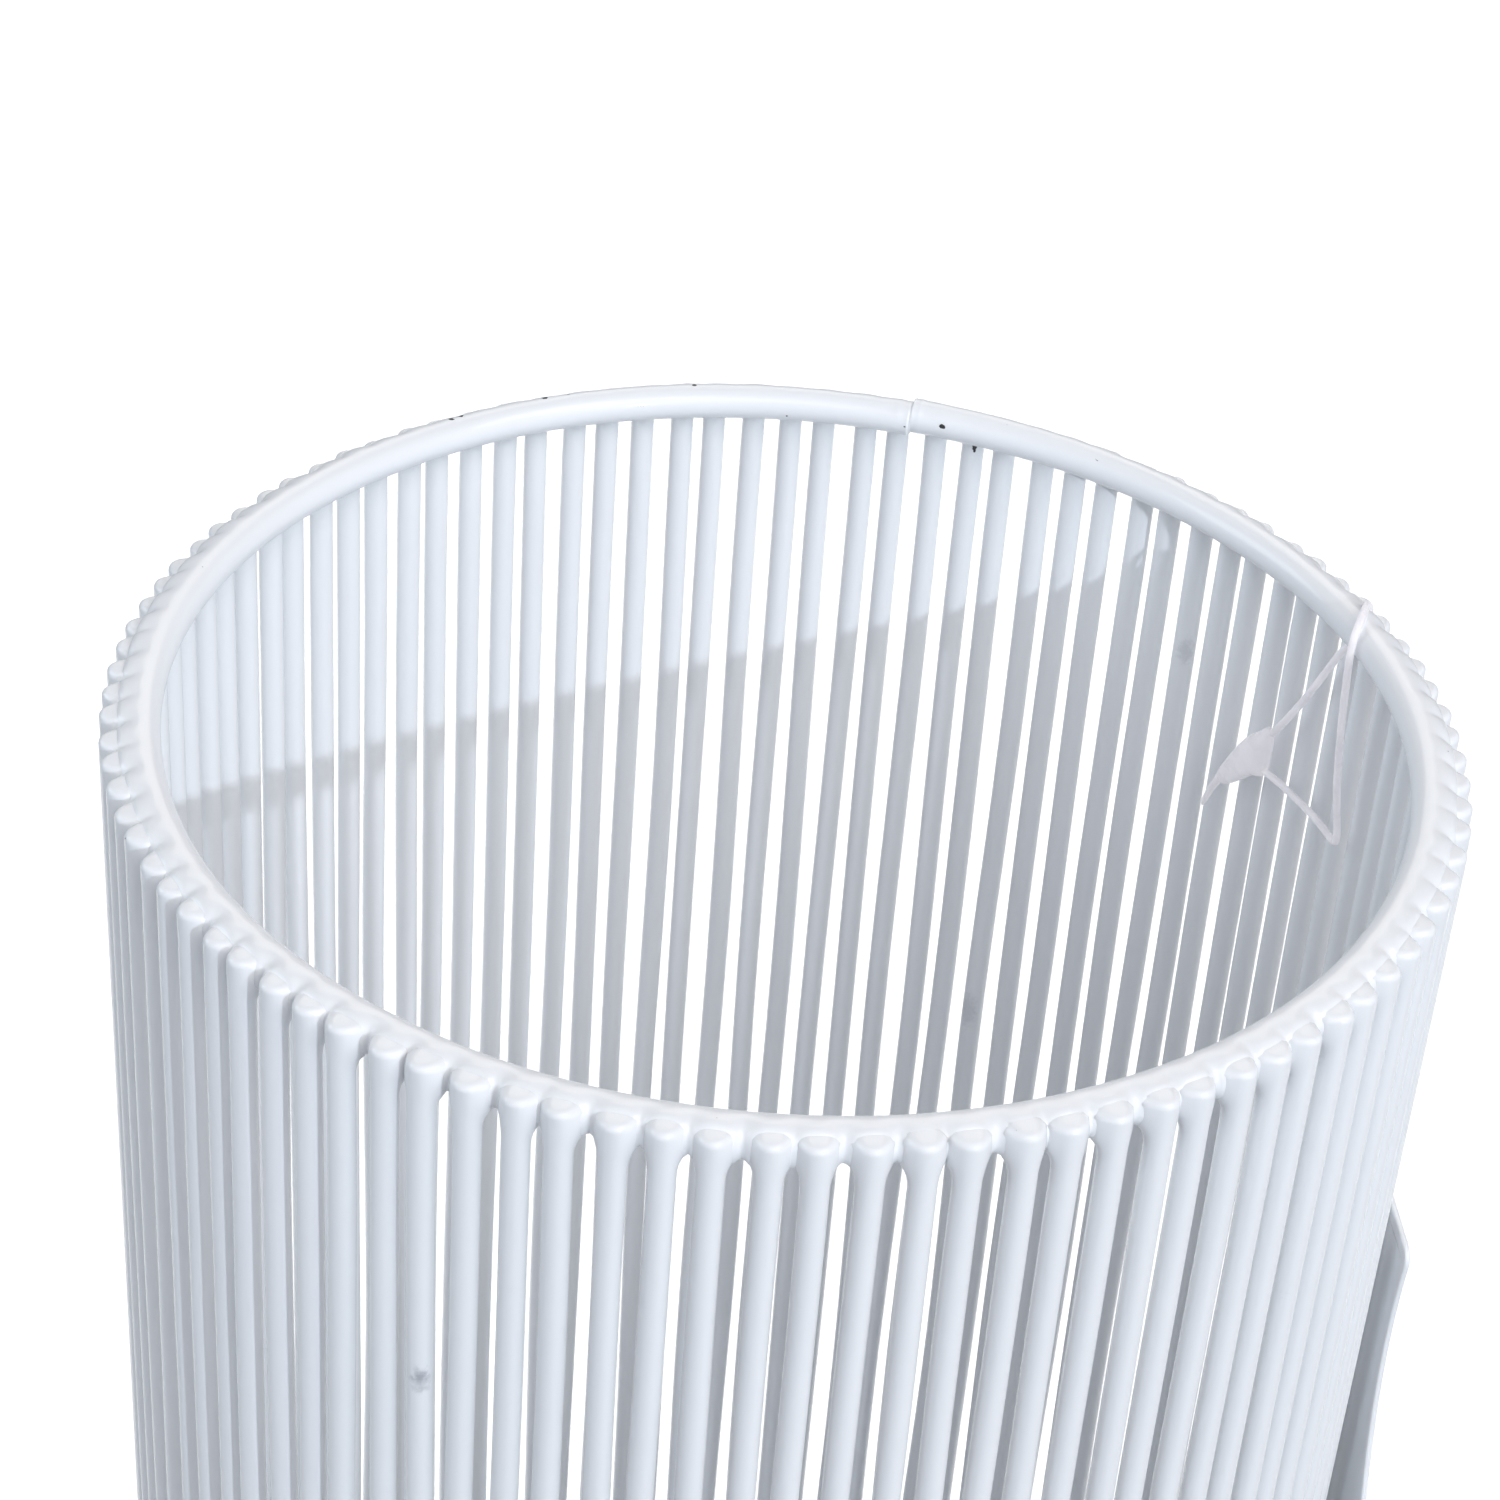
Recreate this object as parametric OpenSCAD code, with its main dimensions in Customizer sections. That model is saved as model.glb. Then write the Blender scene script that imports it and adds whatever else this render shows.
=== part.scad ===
// Round wire umbrella stand: a closely set basket of upright steel rods
// welded to the outside of a top ring and a base ring, with a sheet floor,
// a lift-out drip tray, rubber feet, a plain wall plate and a clear loop
// fastener hanging on the top ring. Millimetres, +Z up, floor at z = 0.
// The front of the stand faces -Y and azimuths turn from +X towards +Y.

/* [Size] */

// Height of the top ring's wire centre above the floor
ring_z = 486; // [400:1:600]
// Radius of both rings at the wire centre
ring_r = 98; // [80:1:130]
// Wire diameter of both rings
ring_wire = 6; // [4:0.5:8]

/* [Rods] */

// Number of upright rods
rod_count = 98; // [70:14:126]
// Rods in each welded group
rods_per_group = 7; // [7:7:14]
// Rod diameter
rod_d = 4; // [3:0.5:5]
// How deep each rod is pressed into the ring wire by the weld
weld_depth = 0.9; // [0.2:0.1:1.2]
// Edge rounding at the rod ends
rod_edge = 0.8; // [0.2:0.1:1.5]
// Height of the lower rod ends above the floor
rod_bottom_z = 6; // [4:1:20]
// Mean height of the upper rod ends above the ring's wire centre
rod_stand = 2.2; // [0:0.1:4]
// How much higher the front rod ends stand than the mean
rod_stand_swing = 1.4; // [0:0.1:2]
// Largest random step of a rod end along the ring, in degrees
rod_jitter = 0.26; // [0:0.02:0.3]

/* [Floor] */

// Height of the base ring's wire centre above the floor
base_ring_z = 9; // [9:1:20]
// Thickness of the sheet floor
floor_t = 1.5; // [1:0.1:3]
// Radius of the sheet floor
floor_r = 99; // [90:1:99]
// Outer radius of the drip tray at its lip
tray_r = 92.5; // [80:0.5:93]
// Height of the drip tray
tray_h = 28; // [15:1:50]
// Wall thickness of the drip tray
tray_t = 1.8; // [1:0.1:3]

/* [Feet] */

// Number of rubber feet
foot_count = 4; // [3:1:6]
// Foot diameter
foot_d = 14; // [10:1:18]

/* [Wall plate] */

// Azimuth of the plate's centre line
plate_az = 6.4; // [0:0.1:45]
// Plate thickness
plate_t = 1; // [0.8:0.1:2]
// Drop from the top ring's wire centre to the plate's top edge
plate_drop = 82.7; // [40:0.1:150]
// Height of the plate
plate_h = 112; // [80:1:160]
// Half the plate's width at its waist
plate_waist = 29.2; // [20:0.1:40]
// Drop from the plate's top edge to its waist
plate_waist_drop = 17.5; // [10:0.5:40]
// Half the plate's width at its foot
plate_foot = 42; // [30:1:50]
// Corner radius at the plate's top
plate_corner = 2.6; // [1:0.1:14]
// Radius of the hollow sides
plate_hollow = 105; // [80:1:200]

/* [Loop fastener] */

// Strand diameter
strand_d = 1.3; // [0.8:0.1:2]
// Thickness of the lock head
lock_t = 3; // [2:0.5:4]

/* [Hidden] */

ring_wire_r = ring_wire / 2;
rod_r = rod_d / 2;
// circle that the rod centres stand on
rod_pitch_r = ring_r + ring_wire_r + rod_r - weld_depth;
group_count = rod_count / rods_per_group;
floor_z = base_ring_z + ring_wire_r;
tray_z = floor_z + floor_t;
eps = 0.02;
$fn = 48;

paint = [0.91, 0.92, 0.94];
tray_colour = [0.86, 0.87, 0.88];
rubber = [0.30, 0.31, 0.32];
clear_plastic = [0.93, 0.94, 0.95, 0.65];

// ---- rods ----

// Azimuth of rod i: the even pitch, drifting by about a degree round the
// ring because the rods were set by hand in a loose jig.
function rod_even(i) = i * 360 / rod_count;
function rod_az(i) = rod_even(i) - 0.18
    + 1.15 * cos(rod_even(i)) + 0.65 * sin(rod_even(i))
    - 0.60 * sin(2 * rod_even(i));
// Small steps of the two ends off that azimuth, so each rod leans a little.
function top_step(i) = rod_jitter * sin(137.5 * i);
function foot_step(i) = rod_jitter * sin(97.3 * i + 40);
// The upper ends are cut level but the ring sits slightly lower in front.
function rod_top_z(i) = ring_z + rod_stand
    - rod_stand_swing * sin(rod_az(i)) + 0.15 * sin(211 * i);

function polar(r, az, z) = [r * cos(az), r * sin(az), z];

// A straight bar with rounded end edges, standing on the origin.
module bar(length) {
    rotate_extrude() {
        translate([0, rod_edge])
            square([rod_r, length - 2 * rod_edge]);
        square([rod_r - rod_edge, length]);
        for (y = [rod_edge, length - rod_edge])
            translate([rod_r - rod_edge, y])
                intersection() {
                    circle(rod_edge);
                    translate([0, -rod_edge])
                        square(2 * rod_edge);
                }
    }
}

module rod(i) {
    low = polar(rod_pitch_r, rod_az(i) + foot_step(i), rod_bottom_z);
    high = polar(rod_pitch_r, rod_az(i) + top_step(i), rod_top_z(i));
    run = high - low;
    translate(low)
        rotate([0, acos(run[2] / norm(run)), atan2(run[1], run[0])])
            bar(norm(run));
}

module rods(group) {
    color(paint)
        for (k = [0 : rods_per_group - 1])
            rod((group - 1) * rods_per_group + k);
}

// ---- rings and floor ----

module wire_ring(z) {
    translate([0, 0, z])
        rotate_extrude($fn = 144)
            translate([ring_r, 0])
                circle(ring_wire_r);
}

module top_ring() {
    color(paint) wire_ring(ring_z);
}

module base_ring() {
    color(paint) wire_ring(base_ring_z);
}

// Plain disc welded on top of the base ring.
module floor_plate() {
    color(paint)
        translate([0, 0, floor_z])
            cylinder(r = floor_r, h = floor_t, $fn = 144);
}

// Shallow dish with a rolled lip that stands loose on the sheet floor.
module drip_tray() {
    lip = 1.2 * tray_t;
    foot_r = tray_r - 6;
    color(tray_colour)
        translate([0, 0, tray_z])
            rotate_extrude($fn = 144) {
                polygon([
                    [0, 0],
                    [foot_r, 0],
                    [tray_r - 2, tray_h],
                    [tray_r - 2 - tray_t, tray_h],
                    [foot_r - tray_t, tray_t],
                    [0, tray_t]
                ]);
                translate([tray_r - lip, tray_h - lip])
                    square([lip, lip]);
            }
}

// ---- feet ----

// Rubber button with a half-round seat that the base ring presses into.
module foot(f) {
    az = 45 + (f - 1) * 360 / foot_count;
    seat_r = ring_wire_r + eps;
    color(rubber)
        rotate([0, 0, az])
            difference() {
                translate([ring_r - 3, 0, 0])
                    cylinder(d = foot_d, h = base_ring_z);
                translate([0, 0, base_ring_z])
                    rotate_extrude($fn = 144)
                        translate([ring_r, 0])
                            circle(seat_r);
                // room for the lower rod ends
                translate([0, 0, rod_bottom_z - 0.5])
                    rotate_extrude($fn = 144)
                        translate([rod_pitch_r - rod_r - 0.4, 0])
                            square([foot_d, base_ring_z]);
            }
}

// ---- wall plate ----

// Square-shouldered head, a slight waist and a flared foot, drawn with the top edge
// at y = 0 and the centre line at x = 0.
module plate_outline() {
    waist_y = -plate_waist_drop;
    side_x = plate_waist + plate_hollow;
    shoulder_y = -plate_corner;
    reach = sqrt(pow(plate_hollow, 2) - pow(shoulder_y - waist_y, 2));
    head_x = side_x - reach - plate_corner;
    foot_corner = 8;
    difference() {
        union() {
            translate([-head_x, shoulder_y])
                square([2 * head_x, plate_corner]);
            for (side = [-1, 1]) {
                translate([side * head_x, shoulder_y])
                    circle(plate_corner, $fn = 72);
                translate([side * (plate_foot - foot_corner), foot_corner - plate_h])
                    circle(foot_corner);
            }
            translate([foot_corner - plate_foot, -plate_h])
                square([2 * (plate_foot - foot_corner), foot_corner]);
            translate([-plate_foot, foot_corner - plate_h])
                square([2 * plate_foot, plate_h + shoulder_y - foot_corner]);
        }
        for (side = [-1, 1])
            translate([side * side_x, waist_y])
                circle(plate_hollow, $fn = 180);
    }
}

// Flat sheet spot-welded to the rods behind its centre line.
module wall_plate() {
    seat = rod_pitch_r + rod_r - 0.08;
    color(paint)
        rotate([0, 0, plate_az])
            translate([seat, 0, ring_z - plate_drop])
                rotate([90, 0, 90])
                    linear_extrude(plate_t)
                        plate_outline();
}

// ---- loop fastener ----

// Route of the strand as [radius, azimuth, height from the ring centre]:
// from the lock head up under the ring, out between two rods, over the
// ring, down inside the basket and back to the lock head.
strand_route = [
    [97.0, 32.2, -30.6], [97.2, 29.4, -22.6], [97.6, 26.9, -14.2],
    [98.4, 25.2, -7.6], [100.2, 24.6, -4.2], [101.7, 24.6, -1.2],
    [101.4, 24.4, 2.0], [99.6, 23.3, 3.8], [97.0, 21.3, 4.1],
    [94.9, 19.9, 2.7], [94.1, 19.3, -0.8], [94.2, 19.1, -6.0],
    [94.7, 19.2, -12.5], [95.3, 19.2, -19.0], [96.0, 19.1, -26.0],
    [96.8, 18.5, -33.5], [97.0, 18.3, -36.2], [97.0, 18.6, -37.2],
    [97.0, 19.8, -37.5], [97.0, 23.0, -37.6], [96.8, 28.0, -37.9],
    [96.6, 33.0, -38.2]
];
strand_steps = 3;
strand_sides = 8;

function route_point(i) =
    let (k = max(0, min(len(strand_route) - 1, i)), p = strand_route[k])
    polar(p[0], p[1], ring_z + p[2]);
// Catmull-Rom point between route points i and i + 1.
function smooth_point(i, t) =
    let (a = route_point(i - 1), b = route_point(i), c = route_point(i + 1), d = route_point(i + 2))
    0.5 * (2 * b + (c - a) * t + (2 * a - 5 * b + 4 * c - d) * t * t + (3 * b - a - 3 * c + d) * t * t * t);
strand_path = [
    for (i = [0 : len(strand_route) - 2], s = [0 : strand_steps - 1])
        smooth_point(i, s / strand_steps),
    route_point(len(strand_route) - 1)
];

function unit(v) = v / norm(v);
function heading(path, i) =
    unit(path[min(i + 1, len(path) - 1)] - path[max(i - 1, 0)]);
// Cross directions carried along the path without twisting.
function carried(path, i) = i == 0
    ? unit(cross(heading(path, 0), [0, 0, 1]))
    : let (u = carried(path, i - 1), h = heading(path, i)) unit(u - (u * h) * h);

module tube(path, r, sides) {
    n = len(path);
    rings = [
        for (i = [0 : n - 1])
            let (u = carried(path, i), v = cross(heading(path, i), u))
            for (s = [0 : sides - 1])
                path[i] + r * (cos(360 * s / sides) * u + sin(360 * s / sides) * v)
    ];
    walls = [
        for (i = [0 : n - 2], s = [0 : sides - 1])
            let (a = i * sides + s, b = i * sides + (s + 1) % sides)
            each [[a, a + sides, b], [b, a + sides, b + sides]]
    ];
    low_cap = [for (s = [0 : sides - 1]) s];
    high_cap = [for (s = [sides - 1 : -1 : 0]) (n - 1) * sides + s];
    polyhedron(points = rings, faces = concat(walls, [low_cap, high_cap]));
}

// Wedge-shaped lock head lying flat against the rods, with the strand's
// spare tip standing out of its narrow end.
module lock_head() {
    rotate([0, 0, 34.5])
        translate([96.6 - lock_t / 2, 0, ring_z])
            rotate([90, 0, 90]) {
                linear_extrude(lock_t)
                    polygon([
                        [-4.4, -30.0], [-2.6, -29.4], [1.6, -34.4], [7.2, -45.2],
                        [6.2, -47.2], [3.0, -45.2], [-1.6, -40.4], [-4.4, -39.8]
                    ]);
                translate([6.4, -45.6, lock_t / 2])
                    rotate([90, 0, 23])
                        cylinder(d1 = strand_d + 0.4, d2 = strand_d - 0.5, h = 10.2, $fn = 24);
            }
}

module loop_fastener() {
    color(clear_plastic) {
        tube(strand_path, strand_d / 2, strand_sides);
        lock_head();
    }
}

// ---- assembly ----

top_ring();
base_ring();
for (g = [1 : group_count])
    rods(g);
floor_plate();
drip_tray();
wall_plate();
loop_fastener();
for (f = [1 : foot_count])
    foot(f);
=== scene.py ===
"""Round wire umbrella stand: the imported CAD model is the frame, and the finished pieces below ride on it.

Lengths are worked in millimetres and become metres when a mesh is made. Azimuths turn from +X towards +Y.
"""

import math

import bmesh
import bpy
import numpy as np
from mathutils import Matrix, Vector


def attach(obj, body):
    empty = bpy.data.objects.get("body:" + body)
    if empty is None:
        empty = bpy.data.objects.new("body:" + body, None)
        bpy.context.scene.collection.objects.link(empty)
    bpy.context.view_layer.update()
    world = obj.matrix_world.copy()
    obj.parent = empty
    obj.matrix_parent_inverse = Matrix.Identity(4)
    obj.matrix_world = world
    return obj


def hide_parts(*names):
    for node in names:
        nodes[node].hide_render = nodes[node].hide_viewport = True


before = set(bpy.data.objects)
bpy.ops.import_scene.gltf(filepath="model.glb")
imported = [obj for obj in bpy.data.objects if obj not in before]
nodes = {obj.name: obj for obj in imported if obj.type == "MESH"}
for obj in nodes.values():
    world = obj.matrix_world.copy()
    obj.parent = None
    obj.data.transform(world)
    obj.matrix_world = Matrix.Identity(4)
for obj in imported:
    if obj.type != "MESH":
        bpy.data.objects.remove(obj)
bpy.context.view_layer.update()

# The same sizes as the CAD source.
RING_Z, RING_R, WIRE_R = 486.0, 98.0, 3.0
BASE_Z = 9.0
ROD_COUNT, ROD_GROUP, ROD_R = 98, 7, 2.0
ROD_PITCH_R = RING_R + WIRE_R + ROD_R - 0.9
ROD_BOTTOM_Z, ROD_STAND, ROD_SWING, ROD_JITTER = 6.0, 2.2, 1.4, 0.26
ROD_SINK, ROD_ROUND = 0.6, 1.1  # the coat draws back from the cut ends and rounds them
FLOOR_Z, FLOOR_R, FLOOR_T = 12.0, 99.0, 1.5
TRAY_Z, TRAY_R, TRAY_H, TRAY_T = 13.5, 92.5, 28.0, 1.8
PLATE_AZ, PLATE_T, PLATE_DROP, PLATE_H = 6.4, 1.0, 82.7, 112.0
PLATE_WAIST, PLATE_WAIST_DROP, PLATE_FOOT, PLATE_CORNER, PLATE_HOLLOW = 29.2, 17.5, 42.0, 2.6, 105.0
PLATE_SEAT = ROD_PITCH_R + ROD_R - 0.08
SEAM_AZ, BASE_SEAM_AZ = 79.9, -101.0  # where the rings' wire ends are butt-welded
HEAD_AZ, HEAD_R = 34.5, 96.6  # the fastener's lock head

# How finely the finished pieces are made.
ROD_SIDES, RING_SIDES, ROUND_SIDES, CORD_SIDES = 20, 32, 180, 12
RING_STEPS = 14 * ROD_COUNT
SWELL_TURNS, SWELL_LIMIT = 12, 0.3
JOINT_SPAN = 9  # above and below a ring, where the rods' coat swells
UP = np.array([0, 0, 1.0])


# ---------------------------------------------------------------- helpers


def polar(r, az, z):
    a = np.radians(az)
    return np.stack([r * np.cos(a), r * np.sin(a), z + 0 * a], -1)


def chance(*key):
    """The same number from 0 to 1 for the same key on every run."""
    x = math.sin(sum(k * f for k, f in zip(key, (12.9898, 78.233, 37.719)))) * 43758.5453
    return x - math.floor(x)


def smooth_step(x):
    x = np.clip(x, 0, 1)
    return x * x * (3 - 2 * x)


def unit(v):
    return v / np.linalg.norm(v, axis=-1, keepdims=True)


def hump(x, centre, width):
    return np.exp(-(((x - centre) / width) ** 2))


def directions(az):
    """The outward and the sideways direction at an azimuth."""
    a = math.radians(az)
    return np.array([math.cos(a), math.sin(a), 0]), np.array([-math.sin(a), math.cos(a), 0])


def upright(flat, az, r, z):
    """A flat outline, x sideways and y up, upright with its zero at this azimuth, radius and height."""
    outward, along = directions(az)
    return outward * r + flat[:, :1] * along + (z + flat[:, 1:]) * UP


def make(name, points, faces, material, body, stands_for=(), sharp=None):
    """A finished piece from points in millimetres, which rides on a body and stands for CAD nodes."""
    mesh = bpy.data.meshes.new(name)
    mesh.from_pydata((np.asarray(points) * 0.001).tolist(), [], faces)
    mesh.validate()
    shell = bmesh.new()
    shell.from_mesh(mesh)
    bmesh.ops.recalc_face_normals(shell, faces=shell.faces)
    shell.to_mesh(mesh)
    shell.free()
    mesh.shade_smooth()
    if sharp:
        mesh.set_sharp_from_angle(angle=math.radians(sharp))
    mesh.materials.append(material)
    piece = bpy.data.objects.new(name, mesh)
    bpy.context.scene.collection.objects.link(piece)
    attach(piece, body)
    if stands_for:
        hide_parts(*stands_for)
    return piece


def skin(rows, sides, first=0, closed=False):
    """Quads over rows of points, each row a ring of this many sides."""
    i, k = np.meshgrid(np.arange(rows if closed else rows - 1), np.arange(sides), indexing="ij")
    j, m = (i + 1) % rows, (k + 1) % sides
    quads = np.stack([i * sides + k, i * sides + m, j * sides + m, j * sides + k], -1)
    return (quads.reshape(-1, 4) + first).tolist()


def end_caps(rows, sides, first=0):
    """Two faces that close the first row and the last."""
    last = first + (rows - 1) * sides
    return [list(range(first + sides - 1, first - 1, -1)), list(range(last, last + sides))]


def tube(path, radii, sides):
    """Points of rings round a path, with frames carried along it without twisting."""
    path = np.asarray(path, float)
    ahead = unit(np.gradient(path, axis=0))
    aslant = [0.3, 0.2, 1.0]  # any direction off the path's start
    u = unit(np.cross(ahead[0], aslant))
    turn = np.linspace(0, 2 * math.pi, sides, endpoint=False)
    rings = []
    for p, h, r in zip(path, ahead, radii):
        u = unit(u - np.dot(u, h) * h)
        v = np.cross(h, u)
        rings.append(p + r * (np.cos(turn)[:, None] * u + np.sin(turn)[:, None] * v))
    return np.concatenate(rings)


def revolve(profile, sides):
    """A ring of points for each (radius, height) of a profile."""
    turn = np.linspace(0, 360, sides, endpoint=False)
    return np.concatenate([polar(max(r, 0.01) + 0 * turn, turn, z) for r, z in profile])


def corner(centre, radius, start, end, steps=5):
    """Profile points on an arc, angles in degrees."""
    return [
        (centre[0] + radius * math.cos(math.radians(a)), centre[1] + radius * math.sin(math.radians(a)))
        for a in np.linspace(start, end, steps)
    ]


def swell(points, normals, other, reach):
    """How far points of one surface move out so that both surfaces meet in a fillet of paint."""
    t = np.zeros(len(points))
    for _ in range(SWELL_TURNS):
        d = other(points + normals * t[:, None])
        near = np.maximum(reach - np.abs(t - d), 0) / reach
        t = np.clip(t - (np.minimum(t, d) - near * near * reach / 4), 0, SWELL_LIMIT * reach)
    return t


# ---------------------------------------------------------------- materials


class Shader:
    """A material and short ways to add and link its nodes."""

    def __init__(self, name, shown):
        self.material = bpy.data.materials.new(name)
        self.material.use_nodes = True
        self.material.diffuse_color = (*shown, 1)
        self.tree = self.material.node_tree
        self.surface = self.tree.nodes["Principled BSDF"]
        self.place = self.add("TexCoord").outputs["Object"]

    def add(self, kind, inputs=None, **settings):
        node = self.tree.nodes.new("ShaderNode" + kind)
        for key, value in settings.items():
            setattr(node, key, value)
        for key, value in (inputs or {}).items():
            self.put(node.inputs[key], value)
        return node

    def put(self, socket, value):
        if isinstance(value, bpy.types.NodeSocket):
            self.tree.links.new(value, socket)
        else:
            socket.default_value = value

    def math(self, operation, a, b=0.0, clamp=False):
        return self.add("Math", {0: a, 1: b}, operation=operation, use_clamp=clamp).outputs[0]

    def noise(self, scale, detail=2.0, rough=0.5, where=None):
        return self.add(
            "TexNoise", {"Vector": where or self.place, "Scale": scale, "Detail": detail, "Roughness": rough}
        ).outputs["Fac"]

    def span(self, value, low, high, to_low=0.0, to_high=1.0):
        return self.add(
            "MapRange",
            {"Value": value, "From Min": low, "From Max": high, "To Min": to_low, "To Max": to_high},
            interpolation_type="SMOOTHSTEP",
        ).outputs["Result"]

    def mix(self, factor, a, b):
        node = self.add("Mix", data_type="RGBA", clamp_factor=True)
        for socket, value in zip((node.inputs[0], node.inputs[6], node.inputs[7]), (factor, a, b)):
            self.put(socket, value if isinstance(value, (bpy.types.NodeSocket, float)) else (*value, 1))
        return node.outputs[2]

    def bump(self, height, distance, normal=None):
        node = self.add("Bump", {"Height": height, "Distance": distance, "Strength": 1.0})
        if normal is not None:
            self.put(node.inputs["Normal"], normal)
        return node.outputs["Normal"]

    def blot(self, az, r, z, wide, tall, ragged):
        """Distance from the middle of a ragged spot, 1 at its edge; places and half sizes in millimetres."""
        centre = Vector(polar(r, az, z)) * 0.001
        away = self.add("VectorMath", {0: self.place, 1: centre}, operation="SUBTRACT").outputs[0]
        stretch = Vector((1 / wide, 1 / wide, 1 / tall)) * 1000
        away = self.add("VectorMath", {0: away, 1: stretch}, operation="MULTIPLY").outputs[0]
        gap = self.add("VectorMath", {0: away}, operation="LENGTH").outputs["Value"]
        return self.math("ADD", gap, self.span(self.noise(1100.0, 2.0), 0.25, 0.75, -ragged, ragged))

    def put_surface(self, **inputs):
        for key, value in inputs.items():
            self.put(self.surface.inputs[key.replace("_", " ")], value)


def paint_material():
    """Satin white powder coat on steel, with its orange peel, handling marks and chipped spots, and a few
    near-black specks of painted shade along the back of the top ring.
    """
    s = Shader("powder_coat", (0.80, 0.81, 0.84))
    clouds = s.noise(16.0, 3.0)
    stretched = s.add("VectorMath", {0: s.place, 1: (420.0, 420.0, 22.0)}, operation="MULTIPLY").outputs[0]
    streaks = s.noise(1.0, 3.0, where=stretched)
    colour = s.mix(s.span(clouds, 0.3, 0.7), (0.835, 0.85, 0.87), (0.845, 0.858, 0.877))
    colour = s.mix(s.span(streaks, 0.55, 0.85, 0.0, 0.15), colour, (0.80, 0.815, 0.84))

    # Soft grey rubs from umbrellas and hands, and a grey patch at azimuth 47 on the rods' inner side 30 mm
    # under the ring: azimuth, radius, height, half width, half height, strength.
    rub_colour = (0.30, 0.32, 0.36)
    rubs = [
        (-114.8, 104.1, 432.3, 2.1, 3.2, 0.50), (-114.9, 104.1, 433.0, 1.4, 1.5, 0.55),
        (-41.7, 104.1, 437.6, 2.6, 3.6, 0.35),
        (47.0, 100.1, 456.0, 2.4, 3.6, 0.30), (66.8, 100.1, 358.2, 2.2, 5.0, 0.25),
        (-163.0, 104.1, 300.0, 2.6, 7.0, 0.35), (22.0, 104.1, 148.0, 2.8, 6.0, 0.40),
        (128.0, 104.1, 240.0, 2.6, 5.0, 0.35), (-78.0, 104.1, 96.0, 3.0, 8.0, 0.30),
        (-20.0, 104.1, 216.0, 2.6, 6.0, 0.30), (152.0, 100.1, 120.0, 2.8, 9.0, 0.35),
    ]
    for az, r, z, wide, tall, strength in rubs:
        rub = s.span(s.blot(az, r, z, wide, tall, 0.2), 0.25, 1.1, strength, 0.0)
        colour = s.mix(rub, colour, rub_colour)

    # Rare fine nicks on the rod ends and the ring's top, and scuffs round the base.
    height = s.add("SeparateXYZ", {0: s.place}).outputs["Z"]
    on_top = s.span(height, (RING_Z + 0.8) * 0.001, (RING_Z + 2.2) * 0.001)
    nick = s.math("MULTIPLY", s.span(s.noise(640.0, 1.0), 0.80, 0.82), on_top)
    at_base = s.span(height, (BASE_Z + 7) * 0.001, BASE_Z * 0.001)
    scuff = s.math("MULTIPLY", s.span(s.noise(520.0, 4.0, 0.7), 0.64, 0.70), at_base)
    bare_and_painted_shade = s.math("MAXIMUM", nick, scuff)

    # Near-black spots: azimuth, radius, height, half width, half height. Most are paint chipped off down to
    # dark steel, and the one at azimuth 80.2 lies beside the top ring's weld seam. Those at azimuths 102.4 to
    # 128.6 on the top ring's upper face are painted shade: dark specks standing in for the crevices where the
    # rod tops meet the ring at the back.
    chip_and_shade_spots = [
        (76.3, 95.1, 486.7, 0.50, 0.42), (73.25, 99.9, 481.2, 0.46, 1.9), (73.75, 99.7, 482.4, 0.95, 0.40),
        # Painted shade: the specks at azimuths 102.4, 115.6, 118.1, 127.4 and 128.6 darken the top ring's
        # upper face at the back, where the rod tops meet the ring.
        (102.4, 98.4, 488.9, 0.42, 0.30), (92.8, 95.2, 484.9, 0.24, 0.22), (80.2, 95.05, 485.5, 0.32, 0.24),
        (115.6, 98.6, 488.8, 0.40, 0.22), (118.1, 98.8, 488.8, 0.55, 0.25), (127.4, 98.9, 488.8, 0.60, 0.25),
        (128.6, 98.6, 488.9, 0.50, 0.25), (146.0, 100.4, 487.6, 0.50, 0.35),
        (163.0, 101.2, 487.4, 0.40, 0.35),
        (-62.0, 104.0, 62.0, 0.45, 0.9), (171.0, 104.0, 188.0, 0.40, 1.1), (36.0, 104.0, 331.0, 0.40, 0.9),
        (95.0, 104.0, 130.0, 0.45, 1.3), (-134.0, 103.9, 21.0, 0.55, 0.8), (8.0, 103.9, 17.0, 0.6, 0.7),
    ]
    for az, r, z, wide, tall in chip_and_shade_spots:
        bare_and_painted_shade = s.math("MAXIMUM", bare_and_painted_shade, s.span(s.blot(az, r, z, wide, tall, 0.3), 1.05, 0.85))
    # Dark steel where the coat is worn or chipped off, and painted shade in the same near-black at the specks
    # along the back of the top ring.
    colour = s.mix(bare_and_painted_shade, colour, (0.035, 0.034, 0.036))

    rough = s.span(s.noise(55.0, 3.0, 0.5), 0.3, 0.7, 0.40, 0.48)
    rough = s.math("ADD", rough, s.math("MULTIPLY", bare_and_painted_shade, 0.35), clamp=True)
    peel = s.bump(s.noise(700.0, 2.0, 0.45), 0.00001)
    peel = s.bump(s.noise(150.0, 1.0), 0.00002, normal=peel)
    peel = s.bump(s.math("SUBTRACT", 1.0, bare_and_painted_shade), 0.0001, normal=peel)
    s.put_surface(Base_Color=colour, Roughness=rough, Normal=peel)
    s.surface.inputs["IOR"].default_value = 1.5
    s.surface.inputs["Specular IOR Level"].default_value = 0.3
    s.surface.inputs["Coat Weight"].default_value = 0.5
    s.surface.inputs["Coat Roughness"].default_value = 0.07
    return s.material


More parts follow.
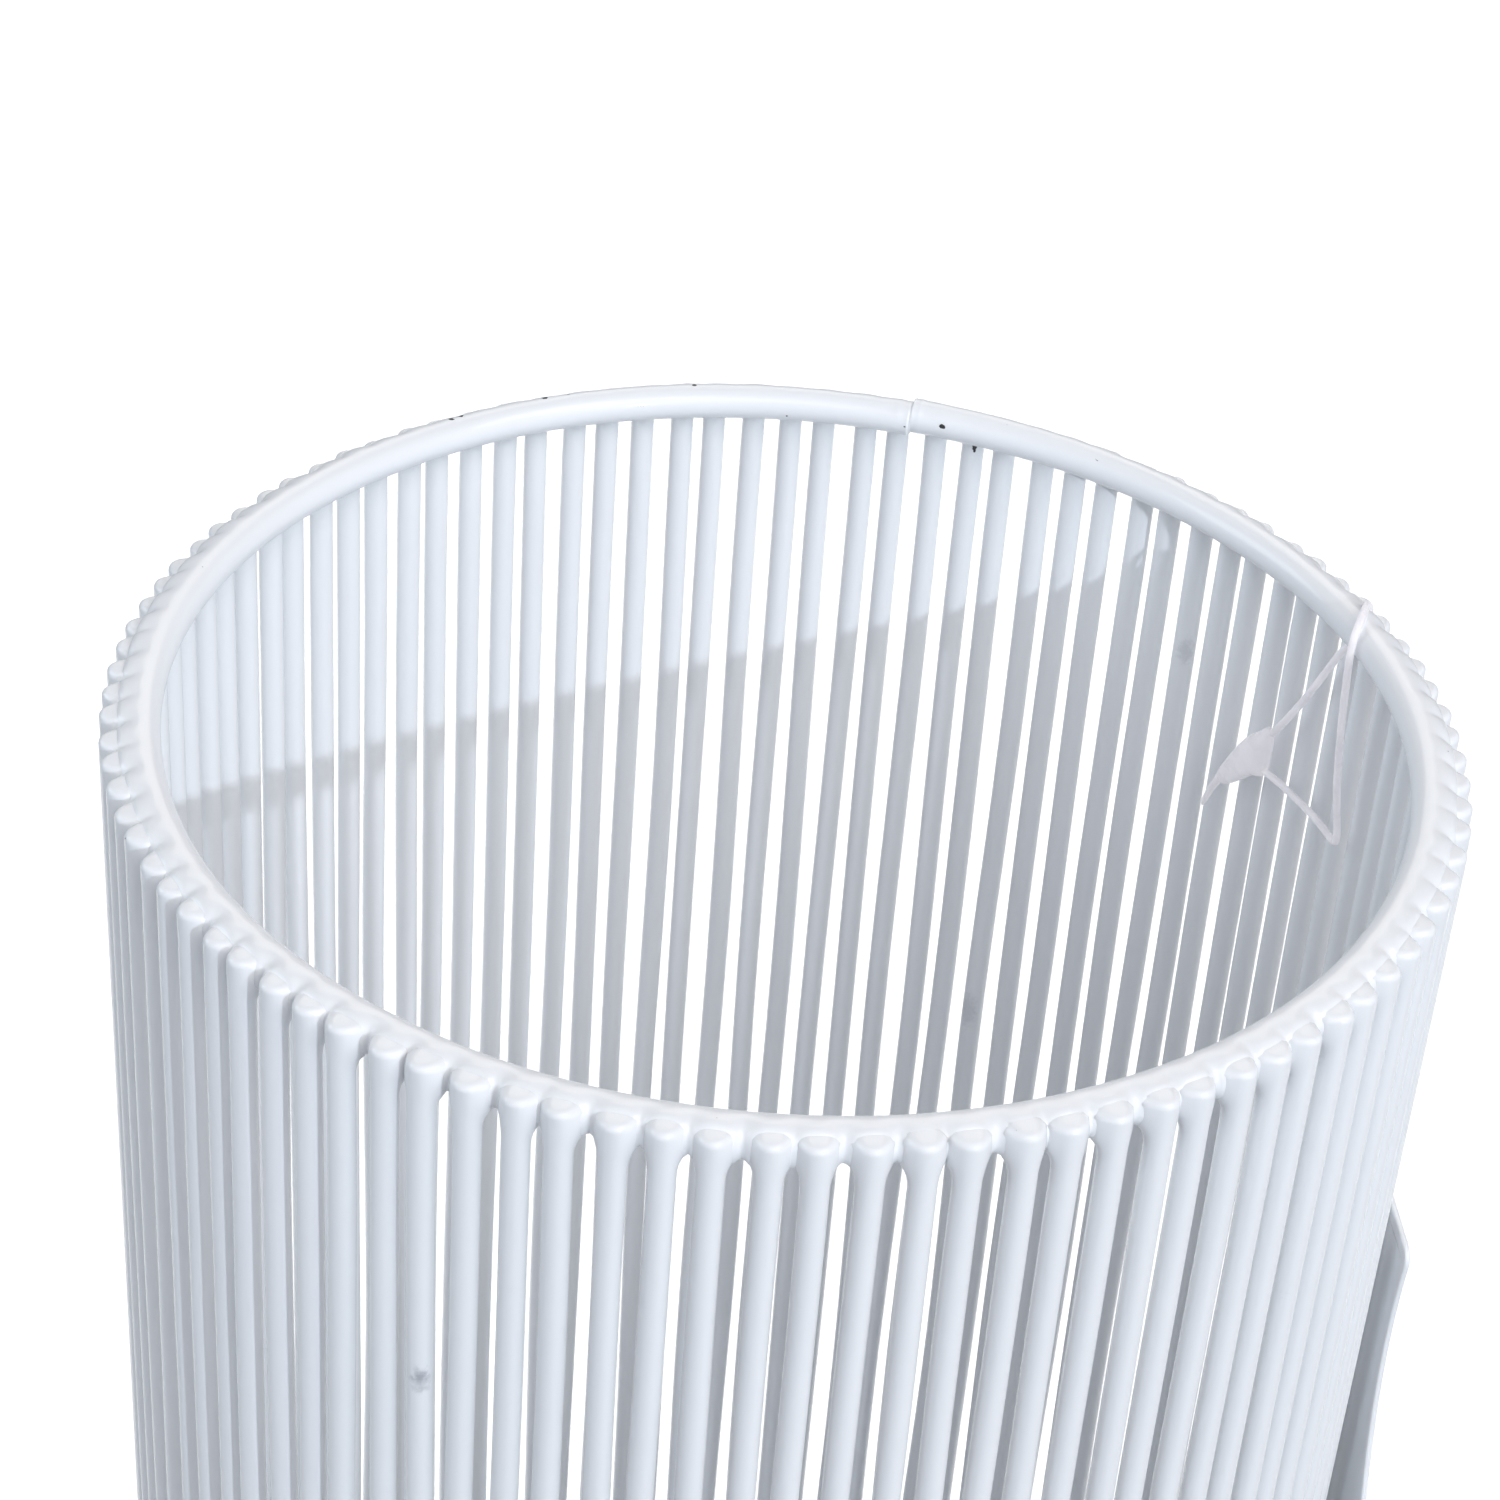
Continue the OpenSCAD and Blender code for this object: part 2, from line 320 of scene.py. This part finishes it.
def tray_material():
    """Pale grey moulded polypropylene with a fine spark texture and faint water marks."""
    s = Shader("moulded_tray", (0.72, 0.74, 0.76))
    colour = s.mix(s.span(s.noise(22.0, 3.0), 0.3, 0.7), (0.70, 0.72, 0.745), (0.75, 0.765, 0.785))
    flat = s.add("VectorMath", {0: s.place, 1: (1.0, 1.0, 0.0)}, operation="MULTIPLY").outputs[0]
    radius = s.add("VectorMath", {0: flat}, operation="LENGTH").outputs["Value"]
    ripple = s.math("ADD", radius, s.math("MULTIPLY", s.noise(30.0, 2.0), 0.012))
    rings = s.math("SINE", s.math("MULTIPLY", ripple, 700.0))
    marks = s.math("MULTIPLY", s.span(rings, 0.86, 1.0), s.span(s.noise(45.0, 3.0), 0.5, 0.7, 0.0, 0.3))
    colour = s.mix(marks, colour, (0.52, 0.51, 0.48))
    s.put_surface(
        Base_Color=colour,
        Roughness=s.span(s.noise(70.0, 3.0), 0.3, 0.7, 0.38, 0.52),
        Normal=s.bump(s.noise(1500.0, 2.0), 0.00004),
    )
    s.surface.inputs["Subsurface Weight"].default_value = 0.15
    s.surface.inputs["Subsurface Radius"].default_value = (0.002, 0.002, 0.002)
    return s.material


def clear_material():
    """Milky clear polypropylene of the loop fastener, which lets light through from behind and glows a little
    with painted light.
    """
    s = Shader("milky_clear_plastic_painted_glow", (0.90, 0.91, 0.93))
    colour = s.mix(s.span(s.noise(260.0, 2.0), 0.3, 0.7), (0.93, 0.91, 0.93), (0.99, 0.97, 0.98))
    peel = s.bump(s.noise(700.0, 2.0), 0.00002)
    s.put_surface(Base_Color=colour, Roughness=s.span(s.noise(300.0, 3.0), 0.3, 0.7, 0.22, 0.36), Normal=peel)
    s.surface.inputs["IOR"].default_value = 1.49
    s.surface.inputs["Alpha"].default_value = 0.85
    # Painted light: a weak emission in the strand's own colour makes it glow a little, standing in for light
    # caught inside it and scattered out again. The translucent shader mixed in below lets real light through
    # from behind.
    s.put(s.surface.inputs["Emission Color"], colour)
    s.surface.inputs["Emission Strength"].default_value = 0.15
    glow = s.add("BsdfTranslucent", {"Color": colour, "Normal": peel})
    both = s.add("MixShader", {0: 0.45, 1: s.surface.outputs[0], 2: glow.outputs[0]})
    s.put(s.tree.nodes["Material Output"].inputs["Surface"], both.outputs[0])
    return s.material


def rubber_material():
    """Dark grey rubber with a matt moulded skin, dusty where it meets the floor."""
    s = Shader("rubber", (0.06, 0.06, 0.065))
    height = s.add("SeparateXYZ", {0: s.place}).outputs["Z"]
    colour = s.mix(s.span(s.noise(240.0, 4.0, 0.6), 0.35, 0.75), (0.045, 0.046, 0.05), (0.085, 0.085, 0.09))
    dust = s.math("MULTIPLY", s.span(height, 0.0035, 0.0), s.span(s.noise(380.0, 4.0, 0.7), 0.35, 0.65))
    colour = s.mix(dust, colour, (0.28, 0.27, 0.25))
    s.put_surface(
        Base_Color=colour,
        Roughness=s.span(s.noise(160.0, 3.0), 0.3, 0.7, 0.62, 0.85),
        Normal=s.bump(s.noise(1300.0, 3.0), 0.00008),
    )
    return s.material


PAINT, TRAY, CLEAR, RUBBER = paint_material(), tray_material(), clear_material(), rubber_material()


# ---------------------------------------------------------------- rods


def rod_azimuth(i):
    """Even spacing, pushed a degree or so round the ring where the rods crowd or thin out."""
    even = math.radians(i * 360 / ROD_COUNT)
    return (
        math.degrees(even) - 0.18 + 1.15 * math.cos(even) + 0.65 * math.sin(even) - 0.60 * math.sin(2 * even)
    )


def sine(degrees):
    return math.sin(math.radians(degrees))


def rod_ends(i):
    """A rod's lower and upper end. Each rod leans and stands a little differently."""
    az = rod_azimuth(i)
    top_z = RING_Z + ROD_STAND - ROD_SINK - ROD_SWING * sine(az) + 0.15 * sine(211 * i)
    low = polar(ROD_PITCH_R, az + ROD_JITTER * sine(97.3 * i + 40), ROD_BOTTOM_Z)
    high = polar(ROD_PITCH_R, az + ROD_JITTER * sine(137.5 * i), top_z)
    return low, high


def rod_centre(i, share):
    """Points on a rod's centre line, which bows a few tenths of a millimetre along the ring."""
    low, high = rod_ends(i)
    share = np.asarray(share, float)[..., None]
    _, along = directions(rod_azimuth(i))
    size = 0.20 + 0.28 * chance(i, 1)
    waves = 1.4 + 1.6 * chance(i, 2)
    bow = size * np.sin(math.pi * share) ** 0.6 * np.sin(2 * math.pi * (waves * share + chance(i, 3)))
    return low + (high - low) * share + bow * along


def ring_gap(height):
    """Distance from points to the ring wire at this height."""

    def gap(p):
        return np.hypot(np.hypot(p[:, 0], p[:, 1]) - RING_R, p[:, 2] - height) - WIRE_R

    return gap


def rods_gap(p):
    """Distance from points near a ring to the rods, their rounded ends included."""
    az = np.degrees(np.arctan2(p[:, 1], p[:, 0]))
    best = np.full(len(p), RING_R)
    for i in range(ROD_COUNT):
        low, high = rod_ends(i)
        near = np.abs((az - rod_azimuth(i) + 180) % 360 - 180) < 5
        q = p[near]
        share = (q[:, 2] - low[2]) / (high[2] - low[2])
        middle = low + (high - low) * np.clip(share, 0, 1)[:, None]
        across = np.hypot(q[:, 0] - middle[:, 0], q[:, 1] - middle[:, 1]) - (ROD_R - ROD_ROUND)
        beyond = np.maximum(q[:, 2] - high[2], low[2] - q[:, 2]) + ROD_ROUND
        outside = np.hypot(np.maximum(across, 0), np.maximum(beyond, 0))
        inside = np.minimum(np.maximum(across, beyond), 0)
        best[near] = np.minimum(best[near], outside + inside - ROD_ROUND)
    return best


def rod_points(i):
    """Rows of points up a rod, close together at its ends and where it meets the rings."""
    low, high = rod_ends(i)
    length = high[2] - low[2]
    past_round = 1.3  # just past the rounded end
    near_top = np.arange(past_round, 14, 0.5)
    near_foot = np.arange(past_round, 9, 0.7)
    middle = np.linspace(9.5, length - 14.5, 44)
    steps = np.concatenate([near_foot, middle, length - near_top[::-1]])
    radii = np.full(len(steps), ROD_R)
    # Rounded, slightly crowned ends.
    tilt = np.radians(np.arange(4, 90, 12))
    depth, narrow = ROD_ROUND * (1 - np.cos(tilt)), ROD_ROUND * (1 - np.sin(tilt))
    steps = np.concatenate([depth, steps, length - depth[::-1]])
    radii = np.concatenate([ROD_R - narrow, radii, ROD_R - narrow[::-1]])
    rise = np.concatenate([-np.cos(tilt), np.zeros(len(steps) - 2 * len(tilt)), np.cos(tilt[::-1])])
    centres = rod_centre(i, steps / length)
    turn = np.linspace(0, 2 * math.pi, ROD_SIDES, endpoint=False) + math.radians(rod_azimuth(i))
    out = np.stack([np.cos(turn), np.sin(turn), 0 * turn], -1)
    # The coat is a little thicker and thinner along the rod.
    lumps = 1 + 0.012 * np.sin(steps / 7.3 + 40 * chance(i, 4)) * np.sin(steps / 19.0 + i)
    points = centres[:, None, :] + (radii * lumps)[:, None, None] * out[None]
    normals = out[None] * np.sqrt(1 - rise**2)[:, None, None] + rise[:, None, None] * UP
    normals, points = normals.reshape(-1, 3), points.reshape(-1, 3)
    reach = 3.5 + 0.5 * chance(i, 5)
    for height in (RING_Z, BASE_Z):
        close = np.abs(points[:, 2] - height) < JOINT_SPAN
        grow = swell(points[close], normals[close], ring_gap(height), reach)
        flank = np.repeat(1 - rise**2, ROD_SIDES)[close]
        points[close] += normals[close] * (grow * flank)[:, None]
    # The paint never stands outside the bar's own outer line.
    radius = np.hypot(points[:, 0], points[:, 1])
    points[:, :2] *= (np.minimum(radius, ROD_PITCH_R + ROD_R - 0.02) / radius)[:, None]
    return points, len(steps)


for group in range(ROD_COUNT // ROD_GROUP):
    points, faces = [], []
    for i in range(group * ROD_GROUP, (group + 1) * ROD_GROUP):
        one_rod, rows = rod_points(i)
        first = sum(len(p) for p in points)
        points.append(one_rod)
        faces += skin(rows, ROD_SIDES, first) + end_caps(rows, ROD_SIDES, first)
    name = f"rods_{group + 1}"
    make(f"painted_{name}", np.concatenate(points), faces, PAINT, "basket", [name])


# ---------------------------------------------------------------- rings


def ring_piece(name, height, seam_az):
    """A ring of wire, welded end to end, with its coat swelling out to meet the rods."""
    even = np.linspace(0, 360, RING_STEPS, endpoint=False)
    at_seam = (seam_az + np.linspace(-2.4, 2.4, 97)) % 360
    az = np.unique(np.concatenate([even, at_seam]))
    turn = np.radians(np.linspace(0, 360, RING_SIDES, endpoint=False))
    past = (az - seam_az + 180) % 360 - 180
    # The wire's two ends meet a few tenths of a millimetre out of line at the butt weld.
    step = np.sign(past) * np.exp(-np.abs(past) / 7.0) * smooth_step(np.abs(past) / 0.20)
    # The weld's bead, the groove along its middle and a bump on either side.
    bead = 0.16 * hump(past, 0, 0.42) - 0.34 * hump(past, 0, 0.13)
    bead += 0.12 * hump(past, -0.9, 0.30) + 0.09 * hump(past, 1.3, 0.4)
    drift = 0.10 * np.sin(np.radians(3 * az + 40)) + 0.06 * np.sin(np.radians(7 * az))
    wire = WIRE_R - 0.04 + 0.02 * np.sin(np.radians(11 * az + 20))
    centre_r = RING_R - 0.14 * step + drift
    centre_z = height - 0.32 * step + 0.6 * drift
    r = wire[:, None] + bead[:, None] * (0.6 + 0.4 * np.sin(turn + 0.5)[None])
    flat = np.stack([np.cos(np.radians(az)), np.sin(np.radians(az)), 0 * az], -1)
    normals = np.cos(turn)[None, :, None] * flat[:, None, :] + np.sin(turn)[None, :, None] * UP
    centres = flat * centre_r[:, None] + np.stack([0 * az, 0 * az, centre_z], -1)
    points = centres[:, None, :] + r[..., None] * normals
    points, normals = points.reshape(-1, 3), normals.reshape(-1, 3)
    reach = 3.6 + 0.4 * np.sin(np.radians(az * 13.7)) * np.sin(np.radians(az * 5.3 + 70))
    grow = swell(points, normals, rods_gap, np.repeat(reach, RING_SIDES))
    points = points + normals * grow[:, None]
    faces = skin(len(az), RING_SIDES, closed=True)
    return make(f"painted_{name}", points, faces, PAINT, "basket", [name])


ring_piece("top_ring", RING_Z, SEAM_AZ)
ring_piece("base_ring", BASE_Z, BASE_SEAM_AZ)


# ---------------------------------------------------------------- floor and tray


def floor_piece():
    """A sheet disc with rounded edges."""
    edge = 0.45
    profile = [(0, 0), (FLOOR_R * 0.5, 0), (FLOOR_R - 2, 0)]
    profile += corner((FLOOR_R - edge, edge), edge, -90, 0)
    profile += corner((FLOOR_R - edge, FLOOR_T - edge), edge, 0, 90)
    profile += [(FLOOR_R - 2, FLOOR_T), (FLOOR_R - 30, FLOOR_T), (FLOOR_R * 0.4, FLOOR_T), (0, FLOOR_T)]
    points = revolve([(r, FLOOR_Z + z) for r, z in profile], ROUND_SIDES)
    faces = skin(len(profile), ROUND_SIDES)
    return make("painted_floor", points, faces, PAINT, "basket", ["floor_plate"])


def tray_piece():
    """A shallow dish: a foot ring under it, a wall that leans out, a rolled lip and three low ribs inside."""
    lip, foot_r, top_r = 1.2 * TRAY_T, TRAY_R - 6, TRAY_R - 2
    heel_r, cove_r, under_lip_r, over_lip_r, inner_lip_r = 2.2, 3.1, 0.75, 1.05, 0.88
    raised, foot_z = 0.25, 0.02
    slope = math.degrees(math.atan2(TRAY_H, top_r - foot_r))
    outer = [(0, raised), (foot_r - 9, raised), (foot_r - 8, foot_z), (foot_r - 3, foot_z)]
    outer += corner((foot_r - heel_r, heel_r + foot_z), heel_r, -90, slope - 92, 7)
    wall = (top_r - foot_r) / TRAY_H
    outer += [(foot_r + wall * z, z) for z in (8, 14, 20, TRAY_H - lip - 0.3)]
    rim = corner((TRAY_R - under_lip_r, TRAY_H - lip + under_lip_r), under_lip_r, -90, 0, 5)
    rim += corner((TRAY_R - over_lip_r, TRAY_H - over_lip_r), over_lip_r, 0, 90, 7)
    inner_top = top_r - TRAY_T
    rim += corner((inner_top + 0.9, TRAY_H - 0.9), inner_lip_r, 90, 176, 6)
    inner = [(inner_top - wall * d, TRAY_H - d) for d in (4, 9, 14, 19)]
    inner += corner((foot_r - TRAY_T - 2.8, TRAY_T + cove_r), cove_r, slope - 92, -90, 8)
    rib = [(1.6, 0), (1.0, 0.25), (0.4, 0.6), (-0.4, 0.6), (-1.0, 0.25), (-1.6, 0)]
    inner += [(r + x, TRAY_T + z) for r in (70, 50, 30) for x, z in rib]
    inner += [(8, TRAY_T), (0, TRAY_T)]
    profile = outer + rim + inner
    points = revolve([(r, TRAY_Z + z) for r, z in profile], ROUND_SIDES)
    faces = skin(len(profile), ROUND_SIDES)
    return make("moulded_tray", points, faces, TRAY, "tray", ["drip_tray"], sharp=50)


floor_piece()
tray_piece()


# ---------------------------------------------------------------- wall plate


def plate_outline():
    """Half of the outline from the top's middle to the foot's middle, then mirrored; y up, top edge at 0."""
    waist_y, foot_corner = -PLATE_WAIST_DROP, 8.0
    side_x = PLATE_WAIST + PLATE_HOLLOW
    reach = math.sqrt(PLATE_HOLLOW**2 - (waist_y + PLATE_CORNER) ** 2)
    head_x = side_x - reach - PLATE_CORNER
    flare = math.degrees(math.asin(math.sqrt(1 - ((side_x - PLATE_FOOT) / PLATE_HOLLOW) ** 2)))
    shoulder = math.degrees(math.asin((waist_y + PLATE_CORNER) / -PLATE_HOLLOW))
    half = [(x, 0.0) for x in np.linspace(2, head_x - 1, 5)]
    half += corner((head_x, -PLATE_CORNER), PLATE_CORNER, 90, 0, 14)
    half += corner((side_x, waist_y), PLATE_HOLLOW, 180 - shoulder + 0.4, 180 + flare, 24)
    half += [(PLATE_FOOT, y) for y in (-80.0, -92.0)]
    half += corner((PLATE_FOOT - foot_corner, foot_corner - PLATE_H), foot_corner, 0, -90, 10)
    half += [(x, -PLATE_H) for x in (24.0, 12.0)]
    return np.array(half + [(-x, y) for x, y in reversed(half)])


def plate_piece():
    """The outline carried through the sheet's thickness, with rounded edges."""
    edge, line = 0.32, plate_outline()
    ahead = np.roll(line, -1, 0) - np.roll(line, 1, 0)
    out = unit(np.stack([-ahead[:, 1], ahead[:, 0]], -1))
    if np.sum(out * (line - line.mean(0))) < 0:
        out = -out
    quarter = np.radians(np.linspace(0, 90, 5))
    rounding = [(edge * (1 - math.sin(a)), edge * (1 - math.cos(a))) for a in quarter]
    # Insets from the outline against depths through the sheet, with two rows on each flat side.
    back = [(2.2, 0.0), (1.2, 0.0)] + rounding
    profile = back + [(inset, PLATE_T - depth) for inset, depth in reversed(back)]
    top_z = RING_Z - PLATE_DROP
    rows = [upright(line - out * inset, PLATE_AZ, PLATE_SEAT + depth, top_z) for inset, depth in profile]
    faces = skin(len(rows), len(line)) + end_caps(len(rows), len(line))
    return make("painted_plate", np.concatenate(rows), faces, PAINT, "basket", ["wall_plate"])


plate_piece()


# ---------------------------------------------------------------- loop fastener

# The same route as in the CAD source: radius, azimuth, height from the ring's centre line.
ROUTE = [
    (97.0, 32.2, -30.6), (97.2, 29.4, -22.6), (97.6, 26.9, -14.2), (98.4, 25.2, -7.6), (100.2, 24.6, -4.2),
    (101.7, 24.6, -1.2), (101.4, 24.4, 2.0), (99.6, 23.3, 3.8), (97.0, 21.3, 4.1), (94.9, 19.9, 2.7),
    (94.1, 19.3, -0.8), (94.2, 19.1, -6.0), (94.7, 19.2, -12.5), (95.3, 19.2, -19.0), (96.0, 19.1, -26.0),
    (96.8, 18.5, -33.5), (97.0, 18.3, -36.2), (97.0, 18.6, -37.2), (97.0, 19.8, -37.5), (97.0, 23.0, -37.6),
    (96.8, 28.0, -37.9), (96.6, 33.0, -38.2),
]


def catmull_rom(points, steps):
    """A smooth curve through the points."""
    p = np.concatenate([points[:1], points, points[-1:]])
    out = []
    for i in range(1, len(p) - 2):
        a, b, c, d = p[i - 1 : i + 3]
        for t in np.arange(steps) / steps:
            bend, twist = 2 * a - 5 * b + 4 * c - d, 3 * b - a - 3 * c + d
            out.append(0.5 * (2 * b + (c - a) * t + bend * t**2 + twist * t**3))
    return np.array(out + [points[-1]])


def strand_points():
    """The strand along its route, a little uneven in thickness."""
    path = catmull_rom(np.array([polar(r, az, RING_Z + z) for r, az, z in ROUTE]), 7)
    thick = 0.63 + 0.012 * np.sin(np.arange(len(path)) * 0.35)
    return tube(path, thick, CORD_SIDES), CORD_SIDES


def lock_head_points():
    """A rounded wedge, drawn on the plane that faces the middle of the stand."""
    line = catmull_rom(np.array([
        (-4.3, -34.0), (-4.1, -30.6), (-3.0, -29.7), (-1.6, -31.2), (1.6, -34.6), (4.6, -39.8), (7.0, -44.8),
        (7.0, -46.4), (5.9, -46.9), (3.0, -45.0), (-1.6, -40.4), (-3.6, -39.5), (-4.3, -37.6), (-4.3, -34.0),
    ]), 3)[:-1]
    middle, thick = line.mean(0), 3.0
    # Shares of the outline's size against depths through the head.
    swelling = [
        (0.55, 0.0), (0.78, 0.12), (0.92, 0.5), (1.0, 1.1),
        (1.0, 1.9), (0.92, 2.5), (0.78, 2.88), (0.55, thick),
    ]
    rows = [
        upright(middle + (line - middle) * share, HEAD_AZ, HEAD_R - thick / 2 + depth, RING_Z)
        for share, depth in swelling
    ]
    return np.concatenate(rows), len(line)


def spare_tip_points():
    """The strand's spare end, which tapers out of the lock head and leans to one side."""
    outward, along = directions(HEAD_AZ)
    lean, length, bow = math.radians(23), 10.6, 0.5
    root = outward * HEAD_R + along * 6.0 + np.array([0, 0, RING_Z - 44.6])
    aim = along * math.sin(lean) - np.array([0, 0, math.cos(lean)])
    share = np.linspace(0, 1, 12)
    path = root + aim * (length * share)[:, None] - outward * (bow * np.sin(math.pi * share))[:, None]
    thick = 0.84 - 0.42 * share
    thick[-1] = 0.12
    return tube(path, thick, CORD_SIDES), CORD_SIDES


def fastener_piece():
    """Strand, lock head and spare tip, each a closed shell that runs into the next."""
    points, faces, first = [], [], 0
    for some, sides in (strand_points(), lock_head_points(), spare_tip_points()):
        rows = len(some) // sides
        faces += skin(rows, sides, first) + end_caps(rows, sides, first)
        points.append(some)
        first += len(some)
    points = np.concatenate(points)
    return make("clear_loop_fastener", points, faces, CLEAR, "basket", ["loop_fastener"])


fastener_piece()


# ---------------------------------------------------------------- feet, straight from the CAD

for f in range(1, 5):
    foot = nodes[f"foot_{f}"]
    foot.data.materials.clear()
    foot.data.materials.append(RUBBER)


# ---------------------------------------------------------------- studio


def towards(azimuth, elevation):
    a, e = math.radians(azimuth), math.radians(elevation)
    return Vector((math.cos(a) * math.cos(e), math.sin(a) * math.cos(e), math.sin(e)))


def lamp(name, kind, azimuth, elevation, energy, colour, distance=1.5, **settings):
    """A light that shines on the top ring from this direction and distance in metres."""
    data = bpy.data.lights.new(name, kind)
    data.energy, data.color = energy, colour
    for key, value in settings.items():
        setattr(data, key, value)
    light = bpy.data.objects.new(name, data)
    aim = towards(azimuth, elevation)
    light.location = Vector((0, 0, RING_Z * 0.001)) + aim * distance
    light.rotation_mode = "QUATERNION"
    light.rotation_quaternion = aim.to_track_quat("Z", "Y")
    bpy.context.scene.collection.objects.link(light)


lamp("key", "SUN", -58.1, 18.1, 0.90, (0.92, 1.0, 1.11), distance=4.0, angle=math.radians(0.8))
for name, azimuth, elevation, energy, colour in [
    ("soft_box", -34.0, 50.0, 7.4, (1.06, 0.98, 0.94)),
    ("front_box", -80.0, 48.0, 4.5, (0.99, 0.97, 1.04)),
    ("low_box", -58.0, 32.0, 2.1, (0.85, 1.05, 1.05)),
    ("left_box", 176.0, 24.0, 6.0, (0.92, 1.01, 1.07)),
    ("back_box", 90.0, 35.0, 3.6, (1.03, 1.0, 0.94)),
]:
    lamp(name, "AREA", azimuth, elevation, energy, colour, shape="RECTANGLE", size=0.8, size_y=0.8)


def backdrop_lamp():
    """A spot that makes the floor behind the stand white. It misses the stand's upper part."""
    height, lit_radius = 2.6, 1.15
    data = bpy.data.lights.new("backdrop", "SPOT")
    data.energy, data.shadow_soft_size = 480.0, 0.05
    data.spot_size, data.spot_blend = 2 * math.atan(lit_radius / height), 0.35
    light = bpy.data.objects.new("backdrop", data)
    light.location = (0.0, 1.08, height)
    bpy.context.scene.collection.objects.link(light)


def studio_world():
    """A soft grey surround, bluer towards the horizon and dark overhead."""
    world = bpy.data.worlds.new("studio")
    bpy.context.scene.world = world
    world.use_nodes = True
    tree = world.node_tree
    direction = tree.nodes.new("ShaderNodeTexCoord")
    split = tree.nodes.new("ShaderNodeSeparateXYZ")
    ramp = tree.nodes.new("ShaderNodeValToRGB")
    tree.links.new(direction.outputs["Generated"], split.inputs[0])
    tree.links.new(split.outputs["Z"], ramp.inputs["Fac"])
    low, high, dark = (0.46, 0.50, 0.57), (0.48, 0.49, 0.52), (0.0, 0.0, 0.0)
    stops = [(0.0, low), (0.25, low), (0.35, high), (0.66, high), (0.78, dark)]
    while len(ramp.color_ramp.elements) < len(stops):
        ramp.color_ramp.elements.new(0.5)
    for element, (position, colour) in zip(ramp.color_ramp.elements, stops):
        element.position, element.color = position, (*colour, 1)
    background = tree.nodes["Background"]
    tree.links.new(ramp.outputs["Color"], background.inputs["Color"])
    background.inputs["Strength"].default_value = 1.0


def pale_floor_material():
    s = Shader("pale_floor", (0.9, 0.9, 0.9))
    grain = s.span(s.noise(9.0, 3.0), 0.3, 0.7)
    s.put_surface(Base_Color=s.mix(grain, (0.495, 0.50, 0.505), (0.505, 0.51, 0.515)), Roughness=0.9)
    return s.material


def studio_floor():
    """A round floor in metres, wide enough to fill every view."""
    radius, sides = 14, 48
    turn = np.linspace(0, 2 * math.pi, sides, endpoint=False)
    mesh = bpy.data.meshes.new("studio_floor")
    rim = [(radius * math.cos(a), radius * math.sin(a), 0) for a in turn]
    mesh.from_pydata(rim, [], [list(range(sides))])
    mesh.materials.append(pale_floor_material())
    ground = bpy.data.objects.new("studio_floor", mesh)
    bpy.context.scene.collection.objects.link(ground)


def studio_camera():
    """The viewpoint of the main view: its directions and its place in the stand's frame, in metres."""
    camera = bpy.data.cameras.new("camera")
    camera.lens, camera.sensor_width = 85.13, 36.0
    camera.clip_start, camera.clip_end = 0.02, 60
    viewer = bpy.data.objects.new("camera", camera)
    right = Vector((0.99658, 0.05491, 0.06175))
    down = Vector((0.08201, -0.56607, -0.82027))
    ahead = Vector((-0.01009, 0.82253, -0.56864))
    turned = Matrix((right, -down, -ahead)).transposed().to_4x4()
    turned.translation = (0.0, -0.4501, 0.7901)
    viewer.matrix_world = turned
    bpy.context.scene.collection.objects.link(viewer)
    bpy.context.scene.camera = viewer
    bpy.context.scene.view_settings.view_transform = "Standard"


backdrop_lamp()
studio_world()
studio_floor()
studio_camera()
